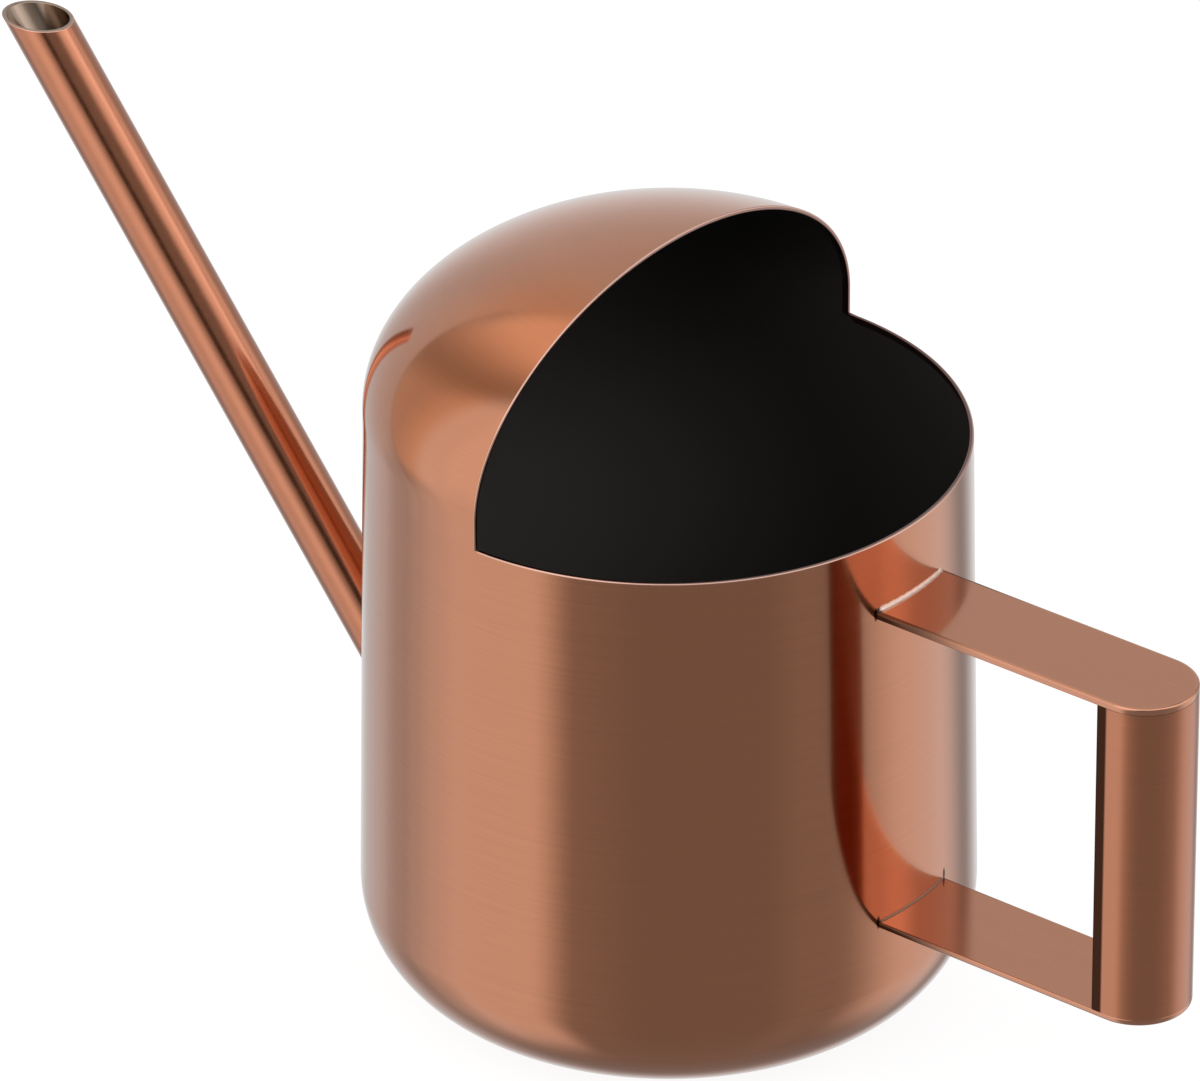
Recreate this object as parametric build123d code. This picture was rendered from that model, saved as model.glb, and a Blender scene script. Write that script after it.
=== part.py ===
"""Indoor watering can: a welded sheet-metal vessel with a half hood, a straight spout and a two-arm handle.

Millimetres, +Z up. The vessel axis is the Z axis, the base stands on Z = 0, the spout points to -X
and the handle to +X. The whole can is mirror-symmetric about Y = 0.
"""

import math
import os

from build123d import *

# Vessel: rim radius is measured on the outside, the wall widens downward by its draft.
RIM_R = 62.5
RIM_Z = 126.0
WALL = 0.8
WALL_DRAFT = 1.0
BOTTOM_EDGE_R = 22.0
SEAM_Z = 20.0

# Hood: half of a flattened dome that stands on the rim.
HOOD_SKIRT = 6.0
HOOD_RISE = 37.5
HOOD_CUT_X = -0.6

# Spout: straight tube whose axis lies in Y = 0, mouth cut level.
SPOUT_OD = 13.1
SPOUT_WALL = 0.8
SPOUT_ELEVATION = 52.1
SPOUT_CROSS_Z = 32.6
SPOUT_TIP_Z = 167.9

# Handle: two flat arms with round ends and a hollow D-section grip between them.
ARM_WIDTH = 22.4
ARM_THICKNESS = 1.6
ARM_EDGE_R = 0.4
ARM_FOOT_EDGE_R = 1.0
UPPER_ARM_TOP = 110.3
LOWER_ARM_TOP = 37.2
GRIP_FACE_X = 116.7
GRIP_ROUND_X = 120.4
GRIP_WALL = 1.0

# Weld beads: leg length of each bead, and how far its hollow face stands from the corner.
UPPER_ARM_BEAD = 1.2
LOWER_ARM_BEAD = 0.8
SPOUT_BEAD = 1.2
BEAD_THROAT = 0.42

# Working sizes that only have to clear the part.
REACH = 400.0
ROOT_OVERLAP = 20.0


def vessel_radius(z):
    """Outer radius of the drafted wall at height z."""
    return RIM_R + (RIM_Z - z) * math.tan(math.radians(WALL_DRAFT))


def vessel_solid(inset):
    """Revolved solid of the vessel's skin moved inward by inset, rounded at the bottom edge."""
    outline = Polyline(
        (0, inset),
        (vessel_radius(inset) - inset, inset),
        (vessel_radius(RIM_Z) - inset, RIM_Z),
        (0, RIM_Z),
        close=True,
    )
    profile = make_face(outline)
    foot = profile.vertices().sort_by(Axis.X)[-1]
    profile = fillet(foot, BOTTOM_EDGE_R - inset)
    return revolve(Plane.XZ * profile, Axis.Z)


def dome_solid(inset):
    """Revolved solid under a straight skirt and a quarter ellipse, moved inward by inset."""
    radius = RIM_R - inset
    spring = RIM_Z + HOOD_SKIRT
    crown = spring + HOOD_RISE - inset
    outline = [
        Line((0, crown), (0, RIM_Z)),
        Line((0, RIM_Z), (radius, RIM_Z)),
        Line((radius, RIM_Z), (radius, spring)),
        EllipticalCenterArc((0, spring), radius, HOOD_RISE - inset, start_angle=0, arc_size=90),
    ]
    return revolve(Plane.XZ * make_face(outline), Axis.Z)


def slab(low, high):
    """Large block between two heights, for cutting on level planes."""
    block = Box(REACH, REACH, high - low, align=(Align.CENTER, Align.CENTER, Align.MIN))
    return Pos(0, 0, low) * block


def spout_cylinder(radius):
    """Cylinder on the spout axis, from inside the vessel to beyond the mouth."""
    slope = math.radians(SPOUT_ELEVATION)
    crossing = Plane(
        origin=(-RIM_R, 0, SPOUT_CROSS_Z),
        x_dir=(0, 1, 0),
        z_dir=(-math.cos(slope), 0, math.sin(slope)),
    )
    length = (SPOUT_TIP_Z - SPOUT_CROSS_Z) / math.sin(slope) + 2 * ROOT_OVERLAP
    rod = Cylinder(radius, length, align=(Align.CENTER, Align.CENTER, Align.MIN))
    return crossing * Pos(0, 0, -ROOT_OVERLAP) * rod


def make_hood():
    """Half dome over the spout side, cut on an upright plane just short of the axis."""
    front = Box(REACH, REACH, REACH, align=(Align.MAX, Align.CENTER, Align.CENTER))
    return (dome_solid(0) - dome_solid(WALL)) & (Pos(HOOD_CUT_X, 0, 0) * front)


def make_body_wall():
    """Drafted wall ring between the base pan and the rim, with the hole for the spout."""
    ring = (vessel_solid(0) - vessel_solid(WALL)) & slab(SEAM_Z, RIM_Z + WALL)
    return ring - spout_cylinder(SPOUT_OD / 2)


def make_base_pan():
    """Flat bottom with its large rounded edge, up to the seam with the wall."""
    return (vessel_solid(0) - vessel_solid(WALL)) & slab(-WALL, SEAM_Z)


def make_spout_tube():
    """Straight tube, saddle-cut flush with the inside of the wall and cut level at the mouth."""
    tube = spout_cylinder(SPOUT_OD / 2) - spout_cylinder(SPOUT_OD / 2 - SPOUT_WALL)
    tube -= vessel_solid(WALL)
    return tube - slab(SPOUT_TIP_Z, SPOUT_TIP_Z + REACH)


def arm_plate(top):
    """Flat bar with a half-round outer end, running into the vessel."""
    height = (Align.CENTER, Align.CENTER, Align.MAX)
    bar = Box(GRIP_ROUND_X - RIM_R + ROOT_OVERLAP, ARM_WIDTH, ARM_THICKNESS, align=(Align.MAX,) + height[1:])
    bar = Pos(GRIP_ROUND_X, 0, top) * bar
    return bar + Pos(GRIP_ROUND_X, 0, top) * Cylinder(ARM_WIDTH / 2, ARM_THICKNESS, align=height)


def make_upper_arm():
    """Upper arm: top edge softened, root cut to the curve of the wall."""
    plate = arm_plate(UPPER_ARM_TOP)
    plate = fillet(plate.edges().group_by(Axis.Z)[-1], ARM_EDGE_R)
    return plate - vessel_solid(0)


def make_lower_arm():
    """Lower arm: lower edge ground round, root cut to the curve of the wall."""
    plate = arm_plate(LOWER_ARM_TOP)
    plate = fillet(plate.edges().group_by(Axis.Z)[0], ARM_FOOT_EDGE_R)
    return plate - vessel_solid(0)


def grip_section(inset):
    """D-shaped outline: half circle flush with the arm ends, short straight sides, flat inner face."""
    width = ARM_WIDTH - 2 * inset
    flat = Rectangle(GRIP_ROUND_X - GRIP_FACE_X - inset, width, align=(Align.MAX, Align.CENTER))
    outline = Pos(GRIP_ROUND_X, 0) * (flat + Circle(width / 2))
    keep = Rectangle(REACH, REACH, align=(Align.MIN, Align.CENTER))
    return outline & (Pos(GRIP_FACE_X + inset, 0) * keep)


def make_grip():
    """Hollow upright grip between the two arms."""
    foot = LOWER_ARM_TOP
    height = UPPER_ARM_TOP - ARM_THICKNESS - foot
    return Pos(0, 0, foot) * extrude(grip_section(0) - grip_section(GRIP_WALL), height)


def make_arm_weld(top, leg):
    """Concave bead in the corner between an arm's top face and the wall."""
    corner_r = vessel_radius(top)
    throat = leg * BEAD_THROAT
    outline = [
        Line((corner_r, top), (corner_r + leg, top)),
        ThreePointArc(
            (corner_r + leg, top),
            (corner_r + throat, top + throat),
            (vessel_radius(top + leg), top + leg),
        ),
        Line((vessel_radius(top + leg), top + leg), (corner_r, top)),
    ]
    ring = revolve(Plane.XZ * make_face(outline), Axis.Z)
    strip = Box(REACH, ARM_WIDTH - 2 * ARM_EDGE_R, REACH, align=(Align.MIN, Align.CENTER, Align.CENTER))
    return ring & strip


def make_spout_weld():
    """Concave bead around the spout where it leaves the wall."""
    vessel = vessel_solid(0)
    tube = spout_cylinder(SPOUT_OD / 2)
    joined = vessel + tube
    seam = [e for e in joined.edges() if e.center().X < -RIM_R / 2 and e.center().Z > SEAM_Z]
    seam = [e for e in seam if e.bounding_box().max.Z < RIM_Z - WALL and e.geom_type != GeomType.CIRCLE]
    bead = fillet(seam, SPOUT_BEAD) - vessel - tube
    return bead.solids().sort_by(SortBy.VOLUME)[-1]


PARTS = {
    "hood": make_hood(),
    "body_wall": make_body_wall(),
    "base_pan": make_base_pan(),
    "spout_tube": make_spout_tube(),
    "spout_weld": make_spout_weld(),
    "upper_handle_arm": make_upper_arm(),
    "upper_arm_weld": make_arm_weld(UPPER_ARM_TOP, UPPER_ARM_BEAD),
    "lower_handle_arm": make_lower_arm(),
    "lower_arm_weld": make_arm_weld(LOWER_ARM_TOP, LOWER_ARM_BEAD),
    "handle_grip": make_grip(),
}

os.makedirs("parts", exist_ok=True)
for node, shape in PARTS.items():
    export_step(shape, f"parts/{node}.step")
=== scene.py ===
import math

import bmesh
import bpy
import numpy as np
from mathutils import Matrix


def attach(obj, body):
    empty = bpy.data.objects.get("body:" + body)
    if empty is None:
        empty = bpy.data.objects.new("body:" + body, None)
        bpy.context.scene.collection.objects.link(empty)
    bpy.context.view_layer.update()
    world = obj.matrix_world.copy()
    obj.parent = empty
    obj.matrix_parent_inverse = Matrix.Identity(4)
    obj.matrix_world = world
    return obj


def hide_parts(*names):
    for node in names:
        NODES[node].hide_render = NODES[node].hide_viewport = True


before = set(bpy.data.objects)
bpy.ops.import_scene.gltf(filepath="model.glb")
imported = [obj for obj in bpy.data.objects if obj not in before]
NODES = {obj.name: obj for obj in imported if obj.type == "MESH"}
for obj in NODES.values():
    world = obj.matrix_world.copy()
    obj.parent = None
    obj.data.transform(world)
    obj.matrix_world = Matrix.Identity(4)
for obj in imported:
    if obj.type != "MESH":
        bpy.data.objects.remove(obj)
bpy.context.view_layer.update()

# Sizes in metres, the same as in the CAD source.
RIM_R, RIM_Z, WALL, SEAM_Z = 0.0625, 0.126, 0.0008, 0.020
FLARE = math.tan(math.radians(1.0))
EDGE_R = 0.022
SKIRT, RISE = 0.006, 0.0375
SPOUT_R, SPOUT_WALL, SPOUT_SLOPE = 0.00655, 0.0008, math.radians(52.1)
SPOUT_Z, TIP_Z = 0.0326, 0.1679
ARM_W, ARM_T = 0.0224, 0.0016
UPPER_TOP, LOWER_TOP = 0.1103, 0.0372
GRIP_FACE, GRIP_ROUND = 0.1167, 0.1204
HOOD_CUT = -0.0006

# Finer sizes: rounding, thickness and taper of the vessel's open edge, rounding of the spout's mouth, sink of
# the arm roots in the wall, inner corners of the grip, and how far below the rim the normals ease to upright.
LIP, HEM, HEM_END, TAPER_END = 0.0003, 0.0010, 0.0008, 0.0015
SPOUT_LIP, ROOT_SINK, GRIP_CORNER, NORMAL_EASE = 0.0002, 0.0003, 0.0007, 0.03

# Points round the vessel, the distance at which points merge, the room for lying on a skin, and how much less
# a face in a joint weighs in the normals.
COLUMNS, MERGE, ON_SKIN, JOINT_FADE = 360, 2e-7, 2e-6, 0.9999

# Camera fitted to the photograph: bearing, height and roll in degrees, distance in rim radii, pixels to a rim
# radius, sensor in millimetres, then the pixel of the rim's centre and the frame in pixels.
VIEW_AZ, VIEW_EL, VIEW_ROLL = 38.312, 30.055, 0.265
VIEW_DIST, VIEW_SCALE, SENSOR = 39.569, 305.787, 36.0
RIM_PIXEL = (668.27, 430.60)
FRAME_W, FRAME_H = 1200, 1081


# Shader helpers

def plug(tree, slot, item):
    """Links a wrapped value or a socket to the slot, or sets the slot to a constant."""
    source = getattr(item, "socket", item)
    if isinstance(source, bpy.types.NodeSocket):
        tree.links.new(source, slot)
    else:
        slot.default_value = source


class Value:
    """Wraps a shader socket so that + - * / build Math nodes."""

    def __init__(self, tree, socket):
        self.tree, self.socket = tree, socket

    def math(self, operation, *others, clamp=False):
        node = self.tree.nodes.new("ShaderNodeMath")
        node.operation, node.use_clamp = operation, clamp
        for slot, item in zip(node.inputs, (self,) + others):
            plug(self.tree, slot, item)
        return Value(self.tree, node.outputs[0])

    def __add__(self, other): return self.math("ADD", other)
    def __radd__(self, other): return self.math("ADD", other)
    def __sub__(self, other): return self.math("SUBTRACT", other)
    def __rsub__(self, other): return self.math("MULTIPLY", -1.0).math("ADD", other)
    def __mul__(self, other): return self.math("MULTIPLY", other)
    def __rmul__(self, other): return self.math("MULTIPLY", other)
    def __truediv__(self, other): return self.math("DIVIDE", other)

    def step(self, low, high):
        """Smooth rise from 0 at low to 1 at high; falls when low is above high."""
        t = ((self - low) / (high - low)).math("ADD", 0.0, clamp=True)
        return t * t * (3.0 - 2.0 * t)

    def window(self, low, low_full, high_full, high):
        """Smooth rise from 0 at low to 1 at low_full, and fall from 1 at high_full to 0 at high."""
        return self.step(low, low_full) * self.step(high, high_full)


class Shader:
    """A material or world node tree with one method that adds nodes."""

    def __init__(self, tree):
        self.tree = tree
        tree.nodes.clear()

    def add(self, kind, settings=None, **sockets):
        """Adds a node: its settings first, then its sockets by name, or by number as _0, _1 and so on."""
        node = self.tree.nodes.new(kind)
        for key, item in (settings or {}).items():
            setattr(node, key, item)
        for key, item in sockets.items():
            number = key[1:]
            place = int(number) if number.isdigit() else key.replace("_", " ")
            plug(self.tree, node.inputs[place], item)
        return node

    def value(self, socket):
        return Value(self.tree, socket)

    def split(self, vector):
        """The three parts of a vector."""
        return [self.value(part) for part in self.add("ShaderNodeSeparateXYZ", _0=vector).outputs]

    def mix(self, factor, low, high):
        """Colour mix; low and high are colours or sockets."""
        return self.add("ShaderNodeMix", {"data_type": "RGBA"}, _0=factor, _6=low, _7=high).outputs[2]


def new_material(name):
    material = bpy.data.materials.new(name)
    material.use_nodes = True
    return material, Shader(material.node_tree)


# Mesh helpers

def mesh_object(name, points, faces, materials, slots=None, hidden=None, bend=None):
    """Makes one closed piece at the origin, faces outward, with area-weighted smooth normals.

    hidden marks faces in a joint, which don't turn the normals; bend may replace the normals."""
    points = np.asarray(points, float).reshape(-1, 3)
    mesh = bpy.data.meshes.new(name)
    mesh.from_pydata(points.tolist(), [], faces)
    for material in materials:
        mesh.materials.append(material)
    if slots is not None:
        mesh.polygons.foreach_set("material_index", np.asarray(slots, np.int32))
    joint = mesh.attributes.new("joint", "INT", "FACE")
    if hidden is not None:
        joint.data.foreach_set("value", np.asarray(hidden, np.int32))
    work = bmesh.new()
    work.from_mesh(mesh)
    bmesh.ops.remove_doubles(work, verts=work.verts, dist=MERGE)
    if work.calc_volume(signed=True) < 0:
        bmesh.ops.reverse_faces(work, faces=work.faces)
    work.to_mesh(mesh)
    work.free()
    count, faces_n = len(mesh.vertices), len(mesh.polygons)
    normal, area = np.empty(faces_n * 3), np.empty(faces_n)
    mesh.polygons.foreach_get("normal", normal)
    mesh.polygons.foreach_get("area", area)
    inside = np.empty(faces_n, np.int32)
    mesh.attributes["joint"].data.foreach_get("value", inside)
    area *= 1 - inside * JOINT_FADE
    mesh.attributes.remove(mesh.attributes["joint"])
    total, corner = np.empty(faces_n, np.int32), np.empty(len(mesh.loops), np.int32)
    mesh.polygons.foreach_get("loop_total", total)
    mesh.loops.foreach_get("vertex_index", corner)
    weighted = np.repeat(normal.reshape(-1, 3) * area[:, None], total, axis=0)
    sums = np.zeros((count, 3))
    np.add.at(sums, corner, weighted)
    sums /= np.linalg.norm(sums, axis=1, keepdims=True) + 1e-30
    if bend is not None:
        place = np.empty(count * 3)
        mesh.vertices.foreach_get("co", place)
        sums = bend(place.reshape(-1, 3), sums)
    mesh.polygons.foreach_set("use_smooth", np.ones(faces_n, bool))
    mesh.normals_split_custom_set_from_vertices(sums.tolist())
    mesh.update()
    obj = bpy.data.objects.new(name, mesh)
    bpy.context.scene.collection.objects.link(obj)
    return obj


def grid_faces(rows, cols, wrap_rows=False, wrap_cols=False):
    """Quads of a rows by cols grid of points, wrapped where asked."""
    index = np.arange(rows * cols).reshape(rows, cols)
    if wrap_rows:
        index = np.vstack([index, index[:1]])
    if wrap_cols:
        index = np.hstack([index, index[:, :1]])
    quads = np.stack([index[:-1, :-1], index[1:, :-1], index[1:, 1:], index[:-1, 1:]], -1)
    return quads.reshape(-1, 4)


def fold_faces(line):
    """Quads that close a line of points by joining each step to the one as far from the other end."""
    k = np.arange(len(line) // 2 - 1)
    return np.stack([line[k], line[k + 1], line[-2 - k], line[-1 - k]], 1)


def centre_grain(obj, x, y):
    """Centres the mesh's texture space on an upright axis, so brushed highlights run round it."""
    mesh = obj.data
    mesh.use_auto_texspace = False
    mesh.texspace_location = (x, y, 0.08)
    mesh.texspace_size = (0.2, 0.2, 0.2)


def stand_for(obj, node):
    """Lets the piece ride on the part and take the place of its CAD node."""
    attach(obj, "root")
    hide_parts(node)


# Vessel skins, whose pieces take their materials in this order

SLOT_OUTSIDE, SLOT_INSIDE, SLOT_EDGE, SLOT_RAW, SLOT_CUT = range(5)
FOOT_R = RIM_R + (RIM_Z - EDGE_R) * FLARE - EDGE_R / math.cos(math.atan(FLARE))


def skin_radius(z, depth):
    """Radius of the vessel's skin at height z, depth inside the outer face: drafted wall above, arc below."""
    wall = RIM_R + (RIM_Z - z) * FLARE - depth
    arc_r = EDGE_R - depth
    arc = FOOT_R + np.sqrt(np.clip(arc_r ** 2 - (EDGE_R - z) ** 2, 0, None))
    return np.where(z > EDGE_R * (1 + FLARE), wall, arc)


def skin_normal(place, normal):
    """Exact normals on the two skins of wall and pan, easing to upright under the rim; others stay."""
    radius, z = np.hypot(place[:, 0], place[:, 1]), place[:, 2]
    spin = place[:, :2] / (radius[:, None] + 1e-12)
    tilt = math.atan(FLARE) * np.clip((RIM_Z - z) / NORMAL_EASE, 0, 1)
    arc = np.arctan2(z - EDGE_R, np.clip(radius - FOOT_R, 1e-9, None))
    tilt = np.where(z > EDGE_R * (1 + FLARE), tilt, arc)
    exact = np.column_stack([spin * np.cos(tilt)[:, None], np.sin(tilt)])
    result = normal.copy()
    for depth, sign in ((0.0, 1.0), (WALL, -1.0)):
        on_skin = np.abs(radius - skin_radius(z, depth)) < ON_SKIN
        if depth == 0.0:
            on_skin &= z <= RIM_Z - LIP + MERGE / 2
        result[on_skin] = sign * exact[on_skin]
    return result


def lip_section(size, thickness, steps=5):
    """Rounded sheet edge as (depth, back-off) pairs from the outer face to the inner face."""
    turn = np.linspace(0, np.pi / 2, steps)
    outer = np.stack([size * (1 - np.cos(turn)), size * (1 - np.sin(turn))], 1)
    inner = np.stack([thickness - outer[::-1, 0], outer[::-1, 1]], 1)
    return np.vstack([outer, inner])


def open_edge():
    """Open edge of the vessel as (depth, back-off) pairs: rounded, thick inward, tapering to the sheet."""
    return np.vstack([lip_section(LIP, HEM)[1:], [(HEM, HEM_END), (WALL, TAPER_END)]])


def spout_hole(depth, count=400):
    """Outline of the spout's hole in one skin: bearing from -X times rim radius, and height."""
    turn = np.linspace(0, 2 * np.pi, count, endpoint=False)
    place = spout_point(turn, SPOUT_R, spout_root(turn, SPOUT_R, depth))
    bearing = np.arctan2(-place[:, 1], -place[:, 0])
    return bearing * RIM_R, place[:, 2]


def edge_share(u, z, outline, mid_z):
    """Distance of (u, z) from the middle of the spout's hole, over that of the outline on its bearing."""
    edge_u, edge_z = outline[0], outline[1] - mid_z
    angle = np.arctan2(edge_z, edge_u)
    order = np.argsort(angle)
    reach = np.hypot(edge_u, edge_z)[order]
    far = np.interp(np.arctan2(z - mid_z, u), angle[order], reach, period=2 * np.pi)
    return np.hypot(u, z - mid_z) / far


def make_wall(materials):
    """Wall ring: revolve of outer line, rim lip and inner line, without the cells inside the spout hole.

    Corners on the edge of that gap are drawn out to the hole's outline, and a band joins the two skins there.
    The lip is rounded on the open side and square under the hood."""
    rows = 56
    theta = np.linspace(-np.pi, np.pi, COLUMNS, endpoint=False)
    height = np.linspace(SEAM_Z, RIM_Z - LIP, rows)
    lip = open_edge()
    open_side = np.clip(np.cos(theta) * 40 + 0.5, 0, 1)
    skin = np.repeat(height[:, None], COLUMNS, 1)
    sharp = np.where(lip[:, :1] < WALL / 2, 0.0, WALL)
    tall = np.vstack([skin, RIM_Z - lip[:, 1:] * open_side, skin[-2::-1]])
    depth = np.vstack([np.zeros((rows, COLUMNS)), sharp + (lip[:, :1] - sharp) * open_side,
                       np.full((rows - 1, COLUMNS), WALL)])
    total = len(tall)
    bearing = np.tile(theta, (total, 1))

    # Cells inside the hole, and the corners between a cell that goes and one that stays.
    across = (np.mod(theta + 2 * np.pi, 2 * np.pi) - np.pi) * RIM_R
    hole = spout_hole(WALL / 2)
    mid_z = (hole[1].min() + hole[1].max()) / 2
    cell_u = across + np.pi / COLUMNS * RIM_R
    cell_z = (height[:-1] + height[1:]) / 2
    gone = edge_share(cell_u[None, :], cell_z[:, None], hole, mid_z) < 1.0
    keep = np.ones((total, COLUMNS), bool)
    keep[:rows - 1] = ~gone
    keep[total - rows:total - 1] = ~gone[::-1]
    corner_gone, corner_kept = np.zeros((2, rows, COLUMNS), bool)
    for up in (0, 1):
        for block in (gone, np.roll(gone, 1, axis=1)):
            corner_gone[up:rows - 1 + up] |= block
            corner_kept[up:rows - 1 + up] |= ~block
    edge_row, edge_col = np.nonzero(corner_gone & corner_kept)
    u, z = across[edge_col], height[edge_row]
    for row, level in ((edge_row, 0.0), (total - 1 - edge_row, WALL)):
        scale = 1 / edge_share(u, z, spout_hole(level), mid_z)
        bearing[row, edge_col] = -np.pi + u * scale / RIM_R
        tall[row, edge_col] = mid_z + (z - mid_z) * scale
    spread = skin_radius(tall, depth)
    points = np.stack([spread * np.cos(bearing), spread * np.sin(bearing), tall], -1)

    # Each side of a cell that goes, next to one that stays, is joined to the same side of the other skin.
    index = np.arange(total * COLUMNS).reshape(total, COLUMNS)
    sides = ((1, 0, (0, 0), (0, 1)), (-1, 0, (1, 1), (1, 0)), (-1, 1, (0, 1), (1, 1)), (1, 1, (1, 0), (0, 0)))
    bridge = []
    for shift, axis, start, end in sides:
        r, c = np.nonzero(gone & ~np.roll(gone, shift, axis))
        row_a, col_a = r + start[0], (c + start[1]) % COLUMNS
        row_b, col_b = r + end[0], (c + end[1]) % COLUMNS
        bridge.append(np.stack([index[row_a, col_a], index[row_b, col_b], index[total - 1 - row_b, col_b],
                                index[total - 1 - row_a, col_a]], 1))
    bridge = np.vstack(bridge)
    faces = grid_faces(total, COLUMNS, wrap_rows=True, wrap_cols=True).reshape(total, COLUMNS, 4)
    faces = np.vstack([faces[keep], bridge])

    inner = rows + len(lip) - 1
    slot = np.zeros((total, COLUMNS), int)
    slot[rows - 1:rows + 3] = np.where(open_side > 0, SLOT_EDGE, SLOT_OUTSIDE)
    slot[rows + 3:inner] = np.where(open_side > 0, SLOT_RAW, SLOT_INSIDE)
    slot[inner:total - 1] = SLOT_INSIDE
    joint = np.zeros((total, COLUMNS), bool)
    joint[total - 1] = True
    joint[rows:inner] = (open_side < 1) & (np.roll(open_side, -1) < 1)
    slots = np.concatenate([slot[keep], np.full(len(bridge), SLOT_INSIDE)])
    joints = np.concatenate([joint[keep], np.ones(len(bridge), bool)])
    obj = mesh_object("vessel_wall", points, faces.tolist(), materials, slots, joints, skin_normal)
    centre_grain(obj, 0, 0)
    stand_for(obj, "body_wall")


def pan_line(depth):
    """Half section of one skin of the pan as (radius, height): level, then the arc up to the seam."""
    arc_r = EDGE_R - depth
    turn = np.linspace(-np.pi / 2, np.arcsin((SEAM_Z - EDGE_R) / arc_r), 40)
    flat = np.linspace(0, FOOT_R, 8)[:-1]
    radius = np.concatenate([flat, FOOT_R + arc_r * np.cos(turn)])
    z = np.concatenate([np.full(len(flat), depth), EDGE_R + arc_r * np.sin(turn)])
    return np.stack([radius, z], 1)


def make_pan(materials):
    """Base pan: revolve of a flat bottom, the large edge arc and the same inside, closed on the axis."""
    theta = np.linspace(-np.pi, np.pi, COLUMNS, endpoint=False)
    section = np.vstack([pan_line(0.0), pan_line(WALL)[::-1]])
    points = np.stack([section[:, :1] * np.cos(theta), section[:, :1] * np.sin(theta),
                       np.repeat(section[:, 1:], COLUMNS, 1)], -1)
    faces = grid_faces(len(section), COLUMNS, wrap_cols=True)
    band, seam = np.arange(len(section) - 1), len(section) // 2 - 1
    slots = np.repeat(np.where(band > seam, SLOT_INSIDE, SLOT_OUTSIDE), COLUMNS)
    joints = np.repeat(band == seam, COLUMNS)
    obj = mesh_object("base_dish", points, faces.tolist(), materials, slots, joints, skin_normal)
    centre_grain(obj, 0, 0)
    stand_for(obj, "base_pan")


def make_half_hood(materials):
    """Half hood: arches cut square to X, each a straight skirt and a half ellipse, stacked from front to lip.

    An arch at x is as wide as the circle of the rim there, and its rise shrinks with its width."""
    rows, skirt_rows, arch_rows = 70, 5, 121
    side = np.linspace(0, 1, skirt_rows + 1)[:-1]
    turn = np.linspace(0, np.pi, arch_rows)
    foot = np.ones(skirt_rows)
    lean = np.concatenate([foot, np.cos(turn), -foot])
    rise = np.concatenate([foot * 0, np.sin(turn), foot * 0])
    skirt = np.concatenate([side, np.ones(arch_rows), side[::-1]])
    stop = HOOD_CUT - LIP
    reach = np.sin(np.linspace(np.pi / 2, 0, rows))
    lip = open_edge()
    x = np.concatenate([stop - (RIM_R + stop) * reach, HOOD_CUT - lip[:, 1],
                        stop - (RIM_R - WALL + stop) * reach[-2::-1]])[:, None]
    depth = np.concatenate([np.zeros(rows), lip[:, 0], np.full(rows - 1, WALL)])[:, None]
    wide = RIM_R - depth
    half = np.sqrt(np.clip(wide ** 2 - x ** 2, 0, None))
    z = RIM_Z + SKIRT * skirt + (RISE - depth) * half / wide * rise
    points = np.stack([np.broadcast_to(x, z.shape), -half * lean, z], -1)
    sheet = grid_faces(*z.shape)
    index = np.arange(z.size).reshape(z.shape)
    caps = np.vstack([fold_faces(index[:, 0]), fold_faces(index[:, -1])])

    slot = np.full((z.shape[0] - 1, z.shape[1] - 1), SLOT_INSIDE)
    slot[:rows - 1] = SLOT_OUTSIDE
    slot[rows - 1:rows + 3] = SLOT_EDGE
    slot[rows + 3] = SLOT_CUT
    slot[rows + 4:rows + len(lip) - 1] = SLOT_RAW
    slots = np.concatenate([slot.ravel(), np.full(len(caps), SLOT_OUTSIDE)])
    joints = np.arange(len(slots)) >= len(sheet)
    obj = mesh_object("half_hood", points, np.vstack([sheet, caps]).tolist(), materials, slots, joints)
    centre_grain(obj, 0, 0)
    stand_for(obj, "hood")


# Spout

SPOUT_DIR = np.array([-math.cos(SPOUT_SLOPE), 0, math.sin(SPOUT_SLOPE)])
SPOUT_SIDE = np.array([0, 1.0, 0])
SPOUT_UP = np.cross(SPOUT_DIR, SPOUT_SIDE)


def spout_point(turn, radius, along):
    """Point on a tube round the spout axis: angle, radius and distance from where the axis meets X = -rim."""
    ring = np.cos(turn)[..., None] * SPOUT_SIDE + np.sin(turn)[..., None] * SPOUT_UP
    along = np.broadcast_to(np.asarray(along, float), np.shape(turn))
    return np.array([-RIM_R, 0, SPOUT_Z]) + along[..., None] * SPOUT_DIR + np.asarray(radius) * ring


def spout_root(turn, radius, depth):
    """Distance along each line of the tube at which it meets the drafted wall, by a quadratic."""
    start = spout_point(turn, radius, 0.0)
    base = RIM_R + (RIM_Z - start[..., 2]) * FLARE - depth
    slope = -FLARE * SPOUT_DIR[2]
    a = SPOUT_DIR[0] ** 2 - slope ** 2
    b = start[..., 0] * SPOUT_DIR[0] - base * slope
    c = start[..., 0] ** 2 + start[..., 1] ** 2 - base ** 2
    return (-b + np.sqrt(b * b - a * c)) / a


def spout_end(turn, radius):
    """Distance along each line of the tube at which it reaches the level of the mouth."""
    start = spout_point(turn, radius, 0.0)
    return (TIP_Z - start[..., 2]) / SPOUT_DIR[2]


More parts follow.
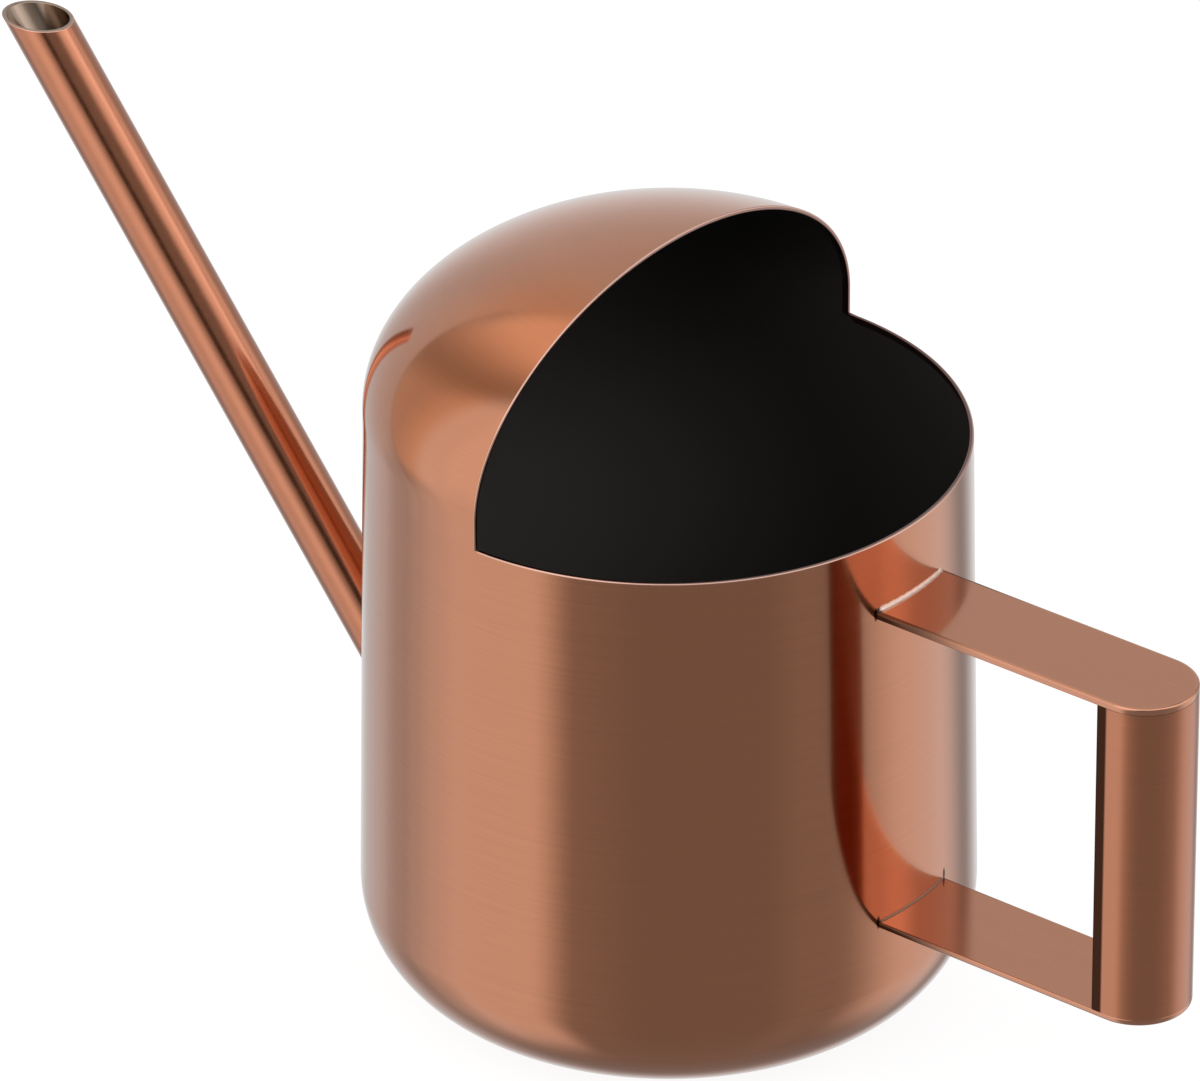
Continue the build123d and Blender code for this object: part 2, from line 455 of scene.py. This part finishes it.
def make_spout(materials):
    """Spout: outer and inner tube between the saddle-cut root and the level mouth, with a soft lip."""
    rows, columns = 60, 128
    turn = np.linspace(0, 2 * np.pi, columns, endpoint=False)
    bore = SPOUT_R - SPOUT_WALL

    def skin(radius):
        root, end = spout_root(turn, radius, WALL), spout_end(turn, radius) - SPOUT_LIP
        along = root + (end - root) * np.linspace(0, 1, rows)[:, None]
        return spout_point(np.tile(turn, (rows, 1)), radius, along)

    lip = [spout_point(turn, SPOUT_R - depth, spout_end(turn, SPOUT_R - depth) - back)
           for depth, back in lip_section(SPOUT_LIP, SPOUT_WALL)[1:-1]]
    points = np.concatenate([skin(SPOUT_R), lip, skin(bore)[::-1]])
    total = len(points)
    faces = grid_faces(total, columns, wrap_rows=True, wrap_cols=True)
    slot = np.zeros((total, columns), int)
    slot[rows - 1:rows + 3] = 1
    slot[rows + 3:total - 1] = 2
    joints = np.repeat(np.arange(total) == total - 1, columns)
    obj = mesh_object("spout", points, faces.tolist(), materials, slot.ravel(), joints)
    stand_for(obj, "spout_tube")


# Handle

def make_arm(name, node, top, soft_top, soft_foot, materials):
    """Handle arm: half section round one edge, carried along one side, the round end and back."""
    half, foot, flat = ARM_W / 2, top - ARM_T, 8
    turn = np.linspace(0, np.pi / 2, 6)
    inset = np.concatenate([
        np.linspace(half, soft_top * 2, flat), [soft_top * 1.3], soft_top * (1 - np.sin(turn)),
        soft_foot * (1 - np.cos(turn)), [soft_foot * 1.3], np.linspace(soft_foot * 2, half, flat)])
    level = np.concatenate([
        np.full(flat + 1, top), top - soft_top * (1 - np.cos(turn)),
        foot + soft_foot * (1 - np.sin(turn)), np.full(flat + 1, foot)])
    offset = half - inset
    wall = RIM_R + (RIM_Z - level) * FLARE - ROOT_SINK
    root = np.sqrt(wall ** 2 - offset ** 2)
    run = root + (GRIP_ROUND - root) * np.linspace(0, 1, 24)[:, None]
    swing = np.linspace(-np.pi / 2, np.pi / 2, 49)[1:-1, None]
    edge = np.tile(offset, (len(run), 1))
    x = np.vstack([run, GRIP_ROUND + offset * np.cos(swing), run[::-1]])
    y = np.vstack([-edge, offset * np.sin(swing), edge])
    points = np.stack([x, y, np.tile(level, (len(x), 1))], -1)
    total, columns = x.shape
    index = np.arange(x.size).reshape(x.shape)
    sheet = grid_faces(total, columns)
    faces = np.vstack([sheet, fold_faces(index[0]), fold_faces(index[-1])])
    across = np.arange(columns - 1)
    slots = np.zeros(len(faces), int)
    slots[:len(sheet)] = np.tile((across >= flat) & (across < columns - 1 - flat), total - 1)
    joints = np.arange(len(faces)) >= len(sheet)
    obj = mesh_object(name, points, faces.tolist(), materials, slots, joints)
    stand_for(obj, node)


def make_handle_grip(materials):
    """Grip: D outline with rounded inner corners, carried up between the arms and closed at both ends."""
    rows, flat, half, corner, sink = 40, 13, ARM_W / 2, GRIP_CORNER, 0.00005
    swing = np.linspace(-np.pi / 2, np.pi / 2, 73)
    bend = np.linspace(0, np.pi / 2, 7)
    back_x = GRIP_FACE + corner - corner * np.sin(bend)
    back_y = half - corner + corner * np.cos(bend)
    near = [GRIP_FACE + 2 * corner]
    x = np.concatenate([GRIP_ROUND + half * np.cos(swing), near, back_x, np.full(flat, GRIP_FACE),
                        back_x[::-1], near])
    y = np.concatenate([half * np.sin(swing), [half], back_y,
                        np.linspace(half - 2 * corner, -half + 2 * corner, flat), -back_y[::-1], [-half]])
    height = np.linspace(LOWER_TOP - sink, UPPER_TOP - ARM_T + sink, rows)
    columns = len(x)
    points = np.stack([np.tile(x, (rows, 1)), np.tile(y, (rows, 1)),
                       np.repeat(height[:, None], columns, 1)], -1)
    faces = grid_faces(rows, columns, wrap_cols=True).tolist()
    ring = np.arange(columns)
    faces += [ring[::-1].tolist(), (ring + (rows - 1) * columns).tolist()]
    joints = np.arange(len(faces)) >= (rows - 1) * columns
    obj = mesh_object("grip", points, faces, materials, None, joints)
    centre_grain(obj, GRIP_ROUND, 0)
    stand_for(obj, "handle_grip")


def make_arm_bead(name, node, top, near, far, materials):
    """Weld bead: hollow quarter round in the corner of wall and arm, its leg falling from near to far end.

    Two waves make the leg a little uneven, and it shrinks at both ends."""
    half = ARM_W / 2 - 0.0003
    across = np.linspace(-half, half, 90)
    leg = near + (far - near) * (across + half) / (2 * half)
    leg *= 1 + 0.07 * np.sin(across * 2600) + 0.05 * np.sin(across * 5900 + 1.0)
    leg *= np.clip((half - np.abs(across)) / 0.0006, 0.02, 1) ** 0.5
    turn = np.linspace(0, np.pi / 2, 9)
    out = np.concatenate([1 - np.sin(turn), [0.0, -0.2]])[:, None]
    up = np.concatenate([1 - np.cos(turn), [0.9, -0.1]])[:, None]
    wall = RIM_R + (RIM_Z - top) * FLARE
    spread = np.sqrt(wall ** 2 - across ** 2)
    x = spread + spread / wall * out * leg
    points = np.stack([x, np.tile(across, (len(out), 1)), top + up * leg], -1)
    faces = grid_faces(*x.shape, wrap_rows=True).tolist()
    index = np.arange(x.size).reshape(x.shape)
    faces += [index[:, 0].tolist(), index[::-1, -1].tolist()]
    joints = np.arange(len(faces)) >= (len(turn) - 1) * (len(across) - 1)
    obj = mesh_object(name, points, faces, materials, None, joints)
    stand_for(obj, node)


# Materials

COPPER = (0.61, 0.242, 0.122)
PALE_EDGE = (0.72, 0.42, 0.33)

# How many times per metre the grain varies along X, Y and Z.
LEVEL_GRAIN, GRIP_GRAIN, PLATE_GRAIN = (20, 20, 2600), (60, 60, 2600), (60, 2600, 900)
FINE_GRAIN, TUBE_GRAIN, BEAD_GRAIN = (300, 300, 300), (400, 900, 400), (600, 600, 600)


def shade(colour, level):
    """The colour made lighter or darker, with alpha."""
    return tuple(min(c * level, 1.0) for c in colour) + (1,)


def brushed(name, stretch, colour, roughness, anisotropic=0.0, grain=0.05, mask=None):
    """Brushed metal: noise drawn out along the grain varies colour and roughness a little; a mask darkens."""
    material, s = new_material(name)
    coords = s.add("ShaderNodeTexCoord").outputs["Object"]
    scaled = s.add("ShaderNodeVectorMath", {"operation": "MULTIPLY"}, _0=coords, _1=stretch).outputs[0]
    noise = s.add("ShaderNodeTexNoise", {"noise_dimensions": "3D"}, Vector=scaled, Scale=1.0, Detail=3.0)
    streak = s.value(noise.outputs[0]) - 0.5
    tone = s.mix(streak * 1.6 + 0.5, shade(colour, 1 - grain), shade(colour, 1 + grain))
    coat = 1.0
    if mask:
        dark = mask(s, coords)
        tone = s.mix(dark, tone, shade(colour, 0.10))
        coat = 1.0 - dark
    bsdf = s.add("ShaderNodeBsdfPrincipled", Base_Color=tone, Roughness=streak * 0.07 + roughness,
                 Metallic=1.0, Anisotropic=anisotropic, Anisotropic_Rotation=0.25, Coat_Weight=coat,
                 Coat_Roughness=0.07)
    s.add("ShaderNodeOutputMaterial", Surface=bsdf.outputs[0])
    return material


def lining(name):
    """Matt black inside of the vessel, with a painted pool of light that makes it paler low on the spout
    side.
    """
    material, s = new_material(name)
    coords = s.add("ShaderNodeTexCoord").outputs["Object"]
    away = s.add("ShaderNodeVectorMath", {"operation": "DISTANCE"}, _0=coords, _1=(-0.058, 0.020, 0.070))
    # Painted light: a paler patch round a point low on the spout side, standing in for light falling there.
    painted_light = s.value(away.outputs["Value"]).step(0.075, 0.012)
    tone = s.mix(painted_light, (0.040, 0.036, 0.034, 1), (0.150, 0.143, 0.132, 1))
    bsdf = s.add("ShaderNodeBsdfPrincipled", Base_Color=tone, Roughness=0.42, Specular_IOR_Level=0.15)
    s.add("ShaderNodeOutputMaterial", Surface=bsdf.outputs[0])
    return material


def grip_painted_shade(s, coords):
    """Painted shade: 1 on the straight sides of the grip near its flat inner face, less on that face itself.
    """
    x, y, _ = s.split(coords)
    side = y.math("ABSOLUTE").step(0.0100, 0.0106) * 0.65 + 0.35
    return x.step(GRIP_ROUND - 0.0008, GRIP_ROUND - 0.0014) * side


def bead_mask(s, coords):
    """1 at the near end of a bead."""
    return s.split(coords)[1].step(0.0014 - ARM_W / 2, 0.0006 - ARM_W / 2)


def side_mask(s, coords):
    """Darker arm edge: nearly 1 at the root, fading along the first part of the arm."""
    return s.split(coords)[0].step(0.090, 0.070) * 0.85


def soot_mask(s, coords):
    """1 in small upright smudges on the wall at three corners of the arm roots."""
    x, y, z = s.split(coords)
    mark = x * 0.0
    for side, height in ((-1, UPPER_TOP - 0.0006), (-1, LOWER_TOP), (1, LOWER_TOP + 0.0008)):
        across, up = (y - side * ARM_W / 2) / 0.0005, (z - height) / 0.0015
        mark = mark.math("MAXIMUM", (across * across + up * up).step(1.5, 0.3))
    return mark * x.step(0.0, 0.01)


WALL_METAL = brushed("brushed_wall", LEVEL_GRAIN, COPPER, 0.16, anisotropic=0.88, mask=soot_mask)
HOOD_METAL = brushed("brushed_hood", LEVEL_GRAIN, COPPER, 0.11, anisotropic=0.7, grain=0.03)
EDGE_METAL = brushed("cut_edge", FINE_GRAIN, PALE_EDGE, 0.20, grain=0.03)
RAW_CUT = brushed("raw_cut", FINE_GRAIN, (0.14, 0.055, 0.042), 0.30)
CUT_FACE = brushed("cut_face", FINE_GRAIN, (0.34, 0.155, 0.110), 0.30)
TUBE_METAL = brushed("brushed_tube", TUBE_GRAIN, (0.54, 0.192, 0.093), 0.18)
BORE_METAL = brushed("plain_bore", TUBE_GRAIN, (0.37, 0.265, 0.195), 0.24)
PLATE_METAL = brushed("brushed_plate", PLATE_GRAIN, COPPER, 0.13, grain=0.03)
SIDE_METAL = brushed("plate_side", FINE_GRAIN, (0.66, 0.29, 0.17), 0.18, grain=0.03, mask=side_mask)
# The grip's mask paints shade on its straight sides and, more faintly, on its flat inner face.
GRIP_METAL = brushed("brushed_grip", GRIP_GRAIN, (0.565, 0.208, 0.101), 0.40, anisotropic=0.7, grain=0.04,
                     mask=grip_painted_shade)
WELD_METAL = brushed("polished_weld", BEAD_GRAIN, (0.85, 0.58, 0.47), 0.36, mask=bead_mask)
DARK_WELD = brushed("dark_weld", BEAD_GRAIN, shade(COPPER, 0.4)[:3], 0.3)
INSIDE = lining("black_lining")

make_wall([WALL_METAL, INSIDE, EDGE_METAL, RAW_CUT])
make_pan([WALL_METAL, INSIDE])
make_half_hood([HOOD_METAL, INSIDE, EDGE_METAL, RAW_CUT, CUT_FACE])
make_spout([TUBE_METAL, EDGE_METAL, BORE_METAL])
make_arm("upper_arm", "upper_handle_arm", UPPER_TOP, 0.0006, 0.0002, [PLATE_METAL, SIDE_METAL])
make_arm("lower_arm", "lower_handle_arm", LOWER_TOP, 0.0003, 0.0009, [PLATE_METAL, SIDE_METAL])
make_handle_grip([GRIP_METAL])
make_arm_bead("upper_bead", "upper_arm_weld", UPPER_TOP, 0.0010, 0.0007, [WELD_METAL])
make_arm_bead("lower_bead", "lower_arm_weld", LOWER_TOP, 0.0004, 0.00035, [DARK_WELD])
NODES["spout_weld"].data.materials.clear()
NODES["spout_weld"].data.materials.append(WELD_METAL)


# Stage: pale floor, studio surround and camera

def make_floor():
    """Plain white floor that keeps a faint contact shadow."""
    material, s = new_material("floor_white")
    glow = s.add("ShaderNodeEmission", Color=(0.92, 0.92, 0.92, 1), Strength=1.0)
    matt = s.add("ShaderNodeBsdfDiffuse", Color=(0.16, 0.16, 0.16, 1))
    both = s.add("ShaderNodeAddShader", _0=glow.outputs[0], _1=matt.outputs[0])
    s.add("ShaderNodeOutputMaterial", Surface=both.outputs[0])
    size = 3.0
    corners = np.array([(-size, -size, 0), (size, -size, 0), (size, size, 0), (-size, size, 0)])
    mesh = bpy.data.meshes.new("floor")
    mesh.from_pydata(corners.tolist(), [], [[0, 1, 2, 3]])
    mesh.materials.append(material)
    floor = bpy.data.objects.new("floor", mesh)
    bpy.context.scene.collection.objects.link(floor)
    floor.visible_glossy = False
    floor.visible_diffuse = False


def blend(level, mask, value):
    """The level where the mask is 0 and the value where it is 1."""
    return level * (1.0 - mask) + mask * value


def make_world():
    """Studio surround: white to the camera; to the metal a dark front, light panels and a table edge.

    Its level is a function of a ray's height and of its bearing, 0 at the front and growing to the right."""
    world = bpy.data.worlds.new("studio")
    bpy.context.scene.world = world
    world.use_nodes = True
    s = Shader(world.node_tree)
    ray = s.add("ShaderNodeTexCoord").outputs["Generated"]
    a = math.radians(VIEW_AZ)

    def along(x, y, z):
        dot = s.add("ShaderNodeVectorMath", {"operation": "DOT_PRODUCT"}, _0=ray, _1=(x, y, z))
        return s.value(dot.outputs["Value"])

    toward, aside = along(math.sin(a), -math.cos(a), 0), along(math.cos(a), math.sin(a), 0)
    bearing = aside.math("ARCTAN2", toward) * (180 / math.pi)
    height = along(0, 0, 1).math("ARCSINE") * (180 / math.pi)
    turned = bearing.math("ABSOLUTE")

    # The dark front is widest low down and closes upward between a left and a right panel.
    lean = ((height + 30.0) * 0.5).math("MAXIMUM", 0.0)
    far = bearing + lean * 1.2 + 8.0 * height.step(-14, -26)
    left = bearing.step(-128, -84) * (bearing - lean).step(-36, -54) * height.step(-86, -56)
    right = (bearing + lean).step(60, 100) * far.step(156, 128) * height.step(-66, -38)
    level = 0.26 + left * (0.61 + 0.12 * height.step(-25, 0)) + right * (0.59 + 0.38 * height.step(-10, 20))
    level += left * 0.2 * height.step(-25, -5) * bearing.step(-70, -50)
    level += turned.step(140, 168) * (0.345 + 0.145 * height.step(20, -10))
    soft = 0.04 * bearing.window(-48, -36, -32, -8) + 0.055 * bearing.window(34, 52, 60, 72)
    level += soft * height.step(10, -10)

    # Left rear: a table below a slanting edge, and above it a warm zone with a dark valley.
    above = height + (bearing + 126.5) * 1.75
    table = above.step(2, -2) * bearing.window(-176, -146, -112, -102)
    level = blend(level, table, 0.60 + 0.13 * height.step(8, 45))
    level -= 0.16 * height.window(-28, -18, -8, 4) * bearing.window(-128, -112, -100, -90)
    low = 0.07 * bearing.window(-114, -107, -103, -95) - 0.11 * bearing.window(-135, -125, -118, -110)
    level += low * height.step(-18, -27)
    level -= 0.11 * bearing.window(-150, -130, -97, -86) * height.step(-31, -38)
    raised = bearing + (height - 35.0).math("MAXIMUM", 0.0) * 0.6
    shelf = raised.step(-152, -138) * bearing.step(-84, -94) * above.step(-2, 2) * height.step(-26, -14)
    valley = (height - 17.0 - (bearing + 131.0) * 1.03) * 0.69
    bright = valley.step(4, -8) * (0.20 + 0.33 * bearing.step(-120, -96)) + valley.step(4, 30) * 0.62
    level = blend(level, shelf, 0.40 + bright)
    high_left = bearing.window(-174, -150, -108, -98) * height.step(14, 48)
    warm = (shelf * bearing.step(-98, -108)).math("MAXIMUM", high_left)

    # Right rear: an even panel at the height that the arms and the wall behind them reflect, a dark notch
    # before it, a lamp above the notch and a dim gap below. In front is a dark slit that the spout reflects.
    level = blend(level, bearing.window(80, 90, 132, 150) * height.window(23, 29, 48, 58), 0.76)
    level = blend(level, bearing.window(62, 70, 82, 90) * height.window(18, 23, 28.5, 30.5), 0.30)
    level = blend(level, bearing.window(66, 78, 96, 110) * height.window(29.5, 32, 38, 44), 1.7)
    level = blend(level, bearing.window(-18, -12, -2, 6) * height.window(4, 9, 21, 27), 0.04)
    gap = bearing.window(108, 124, 152, 168) * height.window(-24, -12, 20, 28)
    level = level.math("MAXIMUM", gap * 0.50)

    # A strip lamp high in front lights the rounded edges; overhead is lighter and the ground darker.
    level = blend(level, turned.step(95, 70) * height.window(40, 46, 62, 70), 1.6)
    level = blend(level, height.step(58, 80), 0.68)
    level = blend(level, height.step(-46, -74) * (1.0 - 0.6 * left), 0.27)

    camera = s.value(s.add("ShaderNodeLightPath").outputs["Is Camera Ray"])
    level = blend(level, camera, 1.0)
    tint = s.mix(warm * (1.0 - camera), (1, 1, 1, 1), (1.0, 0.82, 0.66, 1))
    glow = s.add("ShaderNodeBackground", Color=tint, Strength=level)
    s.add("ShaderNodeOutputWorld", Surface=glow.outputs[0])


def make_camera():
    """Camera at the photograph's bearing, height and distance, with a long lens."""
    a, e, r = (math.radians(v) for v in (VIEW_AZ, VIEW_EL, VIEW_ROLL))
    right = np.array([math.cos(a), math.sin(a), 0])
    ahead = np.array([-math.sin(a) * math.cos(e), math.cos(a) * math.cos(e), -math.sin(e)])
    down = -np.cross(right, ahead)
    right, down = (math.cos(r) * right + math.sin(r) * down, math.cos(r) * down - math.sin(r) * right)
    shift_x = (RIM_PIXEL[0] - FRAME_W / 2) / VIEW_SCALE
    shift_y = (RIM_PIXEL[1] - FRAME_H / 2) / VIEW_SCALE
    place = np.array([0, 0, RIM_Z]) - RIM_R * (shift_x * right + shift_y * down + VIEW_DIST * ahead)
    camera = bpy.data.cameras.new("camera")
    camera.sensor_width, camera.sensor_fit = SENSOR, "HORIZONTAL"
    camera.lens = VIEW_SCALE * VIEW_DIST / FRAME_W * SENSOR
    camera.clip_start, camera.clip_end = 0.1, 50.0
    obj = bpy.data.objects.new("camera", camera)
    axes = np.eye(4)
    axes[:3, 0], axes[:3, 1], axes[:3, 2], axes[:3, 3] = right, -down, -ahead, place
    obj.matrix_world = Matrix(axes.tolist())
    bpy.context.scene.collection.objects.link(obj)
    bpy.context.scene.camera = obj


make_floor()
make_world()
make_camera()
bpy.context.scene.view_settings.view_transform = "Standard"
